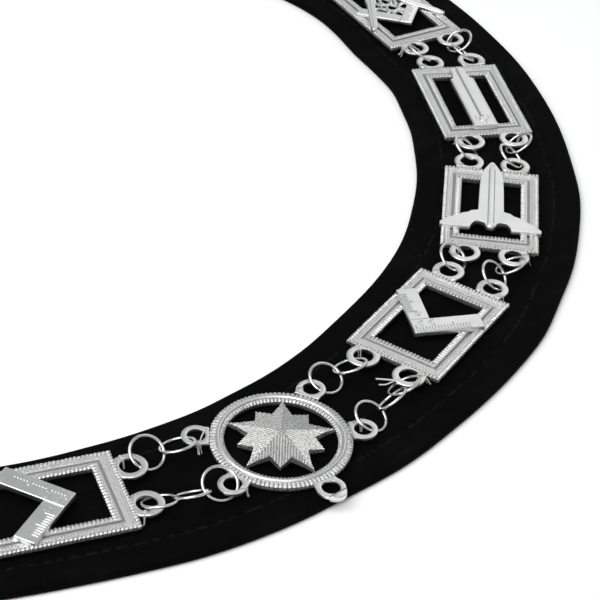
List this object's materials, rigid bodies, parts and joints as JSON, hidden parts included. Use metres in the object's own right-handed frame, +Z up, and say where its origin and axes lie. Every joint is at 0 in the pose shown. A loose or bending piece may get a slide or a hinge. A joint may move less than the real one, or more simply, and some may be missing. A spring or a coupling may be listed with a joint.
{
  "type": "masonic chain collar",
  "caption": "Ceremonial chain collar: cast silver plates and a star medallion joined by jump rings, laid on a closed band of black velvet round a neck opening.",
  "frame": {"origin": "centre of the bounding box in plan, at the underside of the velvet where it lies on the table", "axes": "+Z up, square to the cloth; -Y towards the front of the collar, where the medallion lies; +X towards the side of the loop that the picture shows most of"},
  "size_m": [0.4748, 0.4524, 0.0102],
  "materials": {
    "velvet": "matt black velvet with a short pile",
    "silver_plate": "bright silver plate on cast metal, satin in the channels",
    "ring_wire": "polished silver-plated round wire"
  },
  "bodies": {
    "root": {"velvet_band": "velvet", "medallion": "silver_plate", "plate_right_1_square": "silver_plate", "plate_right_2_level": "silver_plate", "plate_right_3_plumb": "silver_plate", "plate_right_4_compasses": "silver_plate", "plate_right_5_square": "silver_plate", "plate_right_6_level": "silver_plate", "plate_right_7_plumb": "silver_plate", "plate_right_8_compasses": "silver_plate", "plate_left_1_square": "silver_plate", "plate_left_2_level": "silver_plate", "plate_left_3_plumb": "silver_plate", "plate_left_4_compasses": "silver_plate", "plate_left_5_square": "silver_plate", "plate_left_6_level": "silver_plate", "plate_left_7_plumb": "silver_plate", "plate_left_8_compasses": "silver_plate", "rings_inner_medallion_to_right_1": "ring_wire", "rings_outer_medallion_to_right_1": "ring_wire", "rings_inner_right_1_to_right_2": "ring_wire", "rings_outer_right_1_to_right_2": "ring_wire", "rings_inner_right_2_to_right_3": "ring_wire", "rings_outer_right_2_to_right_3": "ring_wire", "rings_inner_right_3_to_right_4": "ring_wire", "rings_outer_right_3_to_right_4": "ring_wire", "rings_inner_right_4_to_right_5": "ring_wire", "rings_outer_right_4_to_right_5": "ring_wire", "rings_inner_right_5_to_right_6": "ring_wire", "rings_outer_right_5_to_right_6": "ring_wire", "rings_inner_right_6_to_right_7": "ring_wire", "rings_outer_right_6_to_right_7": "ring_wire", "rings_inner_right_7_to_right_8": "ring_wire", "rings_outer_right_7_to_right_8": "ring_wire", "rings_inner_right_8_to_left_8": "ring_wire", "rings_outer_right_8_to_left_8": "ring_wire", "rings_inner_left_8_to_left_7": "ring_wire", "rings_outer_left_8_to_left_7": "ring_wire", "rings_inner_left_7_to_left_6": "ring_wire", "rings_outer_left_7_to_left_6": "ring_wire", "rings_inner_left_6_to_left_5": "ring_wire", "rings_outer_left_6_to_left_5": "ring_wire", "rings_inner_left_5_to_left_4": "ring_wire", "rings_outer_left_5_to_left_4": "ring_wire", "rings_inner_left_4_to_left_3": "ring_wire", "rings_outer_left_4_to_left_3": "ring_wire", "rings_inner_left_3_to_left_2": "ring_wire", "rings_outer_left_3_to_left_2": "ring_wire", "rings_inner_left_2_to_left_1": "ring_wire", "rings_outer_left_2_to_left_1": "ring_wire", "rings_inner_left_1_to_medallion": "ring_wire", "rings_outer_left_1_to_medallion": "ring_wire"}
  },
  "joints": []
}
